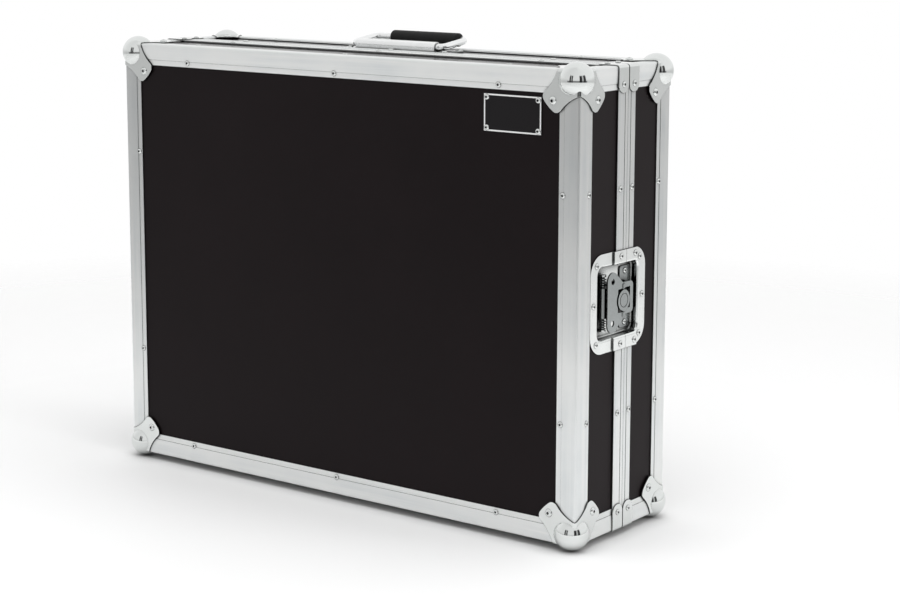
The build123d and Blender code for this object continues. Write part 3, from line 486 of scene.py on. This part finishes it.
# Foam of the pads and linings
def foam():
    """Charcoal open-cell foam."""
    material, tree, shader = new_material("foam")
    cells = noise(tree, object_place(tree), *FOAM_CELLS)
    cloud = noise(tree, object_place(tree), *FOAM_CLOUD)
    pale = dimmed(FOAM_COLOUR, FOAM_PALE)
    colour = mix_colour(tree, spread(tree, cloud, 0.0, 1.0), FOAM_COLOUR, pale)
    tree.links.new(colour, shader.inputs["Base Color"])
    shader.inputs["Roughness"].default_value = FOAM_ROUGHNESS
    shader.inputs["Specular IOR Level"].default_value = FOAM_SPECULAR
    tree.links.new(bump(tree, cells, *FOAM_BUMP), shader.inputs["Normal"])
    return material


# Label plate
def label():
    """A black plate with a pale border line."""
    material, tree, shader = new_material("label")
    low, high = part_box("label_plate")
    place = split_axes(tree, object_place(tree))
    insets = []
    for axis in ("X", "Z"):
        i = ALONG[axis]
        offset = calculate(tree, "SUBTRACT", place[axis], (low[i] + high[i]) / 2)
        size = calculate(tree, "ABSOLUTE", offset)
        insets.append(calculate(tree, "SUBTRACT", (high[i] - low[i]) / 2, size))
    inset = calculate(tree, "MINIMUM", *insets)
    past = calculate(tree, "GREATER_THAN", inset, LABEL_LINE_START)
    before = calculate(tree, "LESS_THAN", inset, LABEL_LINE_END)
    line = calculate(tree, "MULTIPLY", past, before)
    colour = mix_colour(tree, line, LABEL_COLOUR, LABEL_LINE_COLOUR)
    tree.links.new(colour, shader.inputs["Base Color"])
    texture = noise(tree, object_place(tree), *LABEL_TEXTURE)
    tree.links.new(spread(tree, texture, *LABEL_ROUGHNESS), shader.inputs["Roughness"])
    shader.inputs["Specular IOR Level"].default_value = LABEL_SPECULAR
    tree.links.new(soft_edges(tree), shader.inputs["Normal"])
    return material


# Which look each CAD node has
panel_look = laminate()
edge_looks = {axis: aluminium(f"extrusion along {axis}", straight_grain(axis)) for axis in ALONG}
seam_look = aluminium("seam extrusion", seam_grain)
corner_look = plated_steel("corner steel", STEEL_COLOUR, CORNER_ROUGHNESS)
dish_look = plated_steel("latch dish steel", DISH_COLOUR, LATCH_ROUGHNESS, DISH_CREVICE)
latch_look = plated_steel("latch steel", LATCH_COLOUR, LATCH_ROUGHNESS, LATCH_CREVICE)
handle_look = plated_steel("handle steel", HANDLE_COLOUR, HANDLE_ROUGHNESS)
rivet_look = plated_steel("rivet", STEEL_COLOUR, RIVET_ROUGHNESS, RIVET_CREVICE)

for half in ("lid", "base"):
    walls = [f"{half}_{side}_wall" for side in ("top", "bottom", "left", "right")]
    shade(f"{half}_face_panel", *walls, material=panel_look)
    shade(f"{half}_top_edge", f"{half}_bottom_edge", material=edge_looks["X"])
    shade(f"{half}_left_edge", f"{half}_right_edge", material=edge_looks["Z"])
    shade(f"{half}_corner_edges", material=edge_looks["Y"])
    shade(f"{half}_seam_extrusions", material=seam_look)
    shade(f"{half}_seam_braces", material=corner_look)
    for level in ("top", "bottom"):
        for side in ("left", "right"):
            shade(f"{half}_ball_corner_{level}_{side}", material=corner_look)
    shade(f"{half}_rivets", material=rivet_look)
for side in ("left", "right"):
    shade(f"latch_{side}_lid_dish", f"latch_{side}_base_dish", material=dish_look)
    shade(*[f"latch_{side}_{piece}" for piece in LATCH_PIECES], material=latch_look)
shade("label_plate", material=label())
shade("handle_plate", "handle_bail", material=handle_look)
shade("handle_grip", material=rubber())


# Foam pieces that take the place of the CAD blocks
foam_look = foam()


def foam_block(name, low, high):
    """A soft-edged block of foam between two corners."""
    mesh = bpy.data.meshes.new(name)
    shape = bmesh.new()
    bmesh.ops.create_cube(shape, size=2 * CUBE_HALF)
    for vertex in shape.verts:
        for i in range(3):
            vertex.co[i] = low[i] + (vertex.co[i] + CUBE_HALF) * (high[i] - low[i])
    bmesh.ops.bevel(
        shape,
        geom=shape.edges[:],
        offset=FOAM_EDGE,
        segments=FOAM_EDGE_STEPS,
        affect="EDGES",
        profile=FOAM_EDGE_PROFILE,
    )
    shape.to_mesh(mesh)
    shape.free()
    mesh.materials.append(foam_look)
    for face in mesh.polygons:
        face.use_smooth = True
    block = bpy.data.objects.new(name, mesh)
    bpy.context.scene.collection.objects.link(block)
    return block


def foam_piece(node, body, blocks):
    """Foam blocks that together stand for a CAD node."""
    for i, (low, high) in enumerate(blocks):
        block = foam_block(f"{node}_soft_{i}", low, high)
        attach(block, body)
        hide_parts(node)


for half in ("lid", "base"):
    low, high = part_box(f"{half}_foam_pad")
    foam_piece(f"{half}_foam_pad", half, [(low, high)])
    low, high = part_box(f"{half}_foam_lining")
    left = low[0] + FOAM_STRIP
    right = high[0] - FOAM_STRIP
    strips = [
        ((low[0], low[1], low[2]), (left, high[1], high[2])),
        ((right, low[1], low[2]), (high[0], high[1], high[2])),
        ((left + FOAM_GAP, low[1], low[2]), (right - FOAM_GAP, high[1], low[2] + FOAM_STRIP)),
        ((left + FOAM_GAP, low[1], high[2] - FOAM_STRIP), (right - FOAM_GAP, high[1], high[2])),
    ]
    foam_piece(f"{half}_foam_lining", half, strips)


# Floor
def floor():
    """A pale floor that carries the case's shadow, with painted contact shadow near the case, and
    fades into the background further out.
    """
    mesh = bpy.data.meshes.new("floor")
    far = FLOOR_HALF
    corners = [(-far, -far, 0), (far, -far, 0), (far, far, 0), (-far, far, 0)]
    mesh.from_pydata(corners, [], [(0, 1, 2, 3)])
    material, tree, shader = new_material("floor")
    cloud = noise(tree, object_place(tree), *FLOOR_CLOUD)
    colour = mix_colour(tree, cloud, dimmed(FLOOR_COLOUR, FLOOR_DULL), FLOOR_COLOUR)
    # Painted contact shadow: a darker floor colour where the floor sees little open sky
    painted_contact_shadow = openness(tree, *FLOOR_PAINTED_SHADOW)
    colour = mix_colour(tree, painted_contact_shadow, dimmed(FLOOR_COLOUR, FLOOR_PAINTED_SHADOW_SHARE), colour)
    tree.links.new(colour, shader.inputs["Base Color"])
    shader.inputs["Roughness"].default_value = FLOOR_ROUGHNESS
    shader.inputs["Specular IOR Level"].default_value = FLOOR_SPECULAR
    length = tree.nodes.new("ShaderNodeVectorMath")
    length.operation = "LENGTH"
    tree.links.new(object_place(tree), length.inputs[0])
    distance = length.outputs["Value"]
    fade = spread(tree, distance, 1.0, 0.0, FLOOR_SOLID_RADIUS, FLOOR_FADE_RADIUS)
    tree.links.new(fade, shader.inputs["Alpha"])
    mesh.materials.append(material)
    plane = bpy.data.objects.new("floor", mesh)
    bpy.context.scene.collection.objects.link(plane)


floor()


# Light
def area_light(name, place, target, size, power):
    """A square soft light that points at a place and doesn't show in reflections."""
    data = bpy.data.lights.new(name, "AREA")
    data.shape = "SQUARE"
    data.size = size
    data.energy = power
    lamp = bpy.data.objects.new(name, data)
    lamp.location = place
    aim = Vector(target) - Vector(place)
    lamp.rotation_euler = aim.to_track_quat("-Z", "Y").to_euler()
    lamp.visible_glossy = False
    bpy.context.scene.collection.objects.link(lamp)


for lamp_facts in LAMPS:
    area_light(*lamp_facts)


# Room: white where the camera sees it, and a studio that lights the case and shows in its metal
def level_at(tree, value, stops):
    """A grey level read from stops along a value between 0 and 1."""
    ramp = tree.nodes.new("ShaderNodeValToRGB")
    while len(ramp.color_ramp.elements) < len(stops):
        ramp.color_ramp.elements.new(NEW_STOP)
    for element, (position, level) in zip(ramp.color_ramp.elements, stops):
        element.position = position
        element.color = (level, level, level, 1.0)
    tree.links.new(value, ramp.inputs["Fac"])
    return ramp.outputs["Color"]


def background(tree, strength):
    """A white background shader of one strength."""
    node = tree.nodes.new("ShaderNodeBackground")
    node.inputs["Color"].default_value = WHITE
    node.inputs["Strength"].default_value = strength
    return node


def mix_shaders(tree, factor, first, second):
    """The first shader where the factor is 0 and the second where it is 1."""
    node = tree.nodes.new("ShaderNodeMixShader")
    tree.links.new(factor, node.inputs["Fac"])
    tree.links.new(first, node.inputs[1])
    tree.links.new(second, node.inputs[2])
    return node.outputs["Shader"]


def dark_shape(tree, turn, turn_stops, height, height_stops):
    """How dark the room is where a stretch round it and a stretch of height meet."""
    across = level_at(tree, turn, turn_stops)
    upward = level_at(tree, height, height_stops)
    return calculate(tree, "MULTIPLY", across, upward)


def room():
    """The world's shader."""
    world = bpy.data.worlds.new("room")
    bpy.context.scene.world = world
    world.use_nodes = True
    tree = world.node_tree
    tree.nodes.clear()
    output = tree.nodes.new("ShaderNodeOutputWorld")
    coordinates = tree.nodes.new("ShaderNodeTexCoord")
    direction = split_axes(tree, coordinates.outputs["Generated"])
    height = spread(tree, direction["Z"], 0.0, 1.0, -1.0, 1.0)
    angle = calculate(tree, "ARCTAN2", direction["Y"], direction["X"])
    turn = spread(tree, angle, 0.0, 1.0, -math.pi, math.pi)
    height_level = level_at(tree, height, HEIGHT_STOPS)
    turn_level = level_at(tree, turn, TURN_STOPS)
    stands = dark_shape(tree, turn, STAND_STOPS, height, STAND_HEIGHT_STOPS)
    wall = dark_shape(tree, turn, WALL_STOPS, height, WALL_HEIGHT_STOPS)
    dark = calculate(tree, "MAXIMUM", stands, wall)
    front = calculate(tree, "MULTIPLY", height_level, turn_level)
    front = calculate(tree, "MULTIPLY", front, calculate(tree, "SUBTRACT", 1.0, dark))
    backdrop = level_at(tree, turn, BACKDROP_STOPS)
    shine = background(tree, ROOM_SHINE)
    tree.links.new(calculate(tree, "MAXIMUM", front, backdrop), shine.inputs["Color"])
    light = background(tree, ROOM_LIGHT)
    seen = background(tree, ROOM_SEEN)
    path = tree.nodes.new("ShaderNodeLightPath")
    glossy = path.outputs["Is Glossy Ray"]
    lit = mix_shaders(tree, glossy, light.outputs["Background"], shine.outputs["Background"])
    whole = mix_shaders(tree, path.outputs["Is Camera Ray"], lit, seen.outputs["Background"])
    tree.links.new(whole, output.inputs["Surface"])


room()


# Camera
def camera():
    """A camera that stands where the photo was taken from."""
    data = bpy.data.cameras.new("camera")
    data.lens = CAMERA_LENS
    data.sensor_width = CAMERA_SENSOR
    data.shift_y = CAMERA_SHIFT_Y
    holder = bpy.data.objects.new("camera", data)
    yaw = Matrix.Rotation(math.radians(CAMERA_YAW), 4, "Z")
    pitch = Matrix.Rotation(math.radians(CAMERA_PITCH), 4, "X")
    roll = Matrix.Rotation(math.radians(CAMERA_ROLL), 4, "Y")
    upright = Matrix.Rotation(math.radians(CAMERA_UPRIGHT), 4, "X")
    holder.matrix_world = Matrix.Translation(CAMERA_PLACE) @ yaw @ pitch @ roll @ upright
    bpy.context.scene.collection.objects.link(holder)
    bpy.context.scene.camera = holder


camera()
bpy.context.scene.view_settings.view_transform = "Standard"
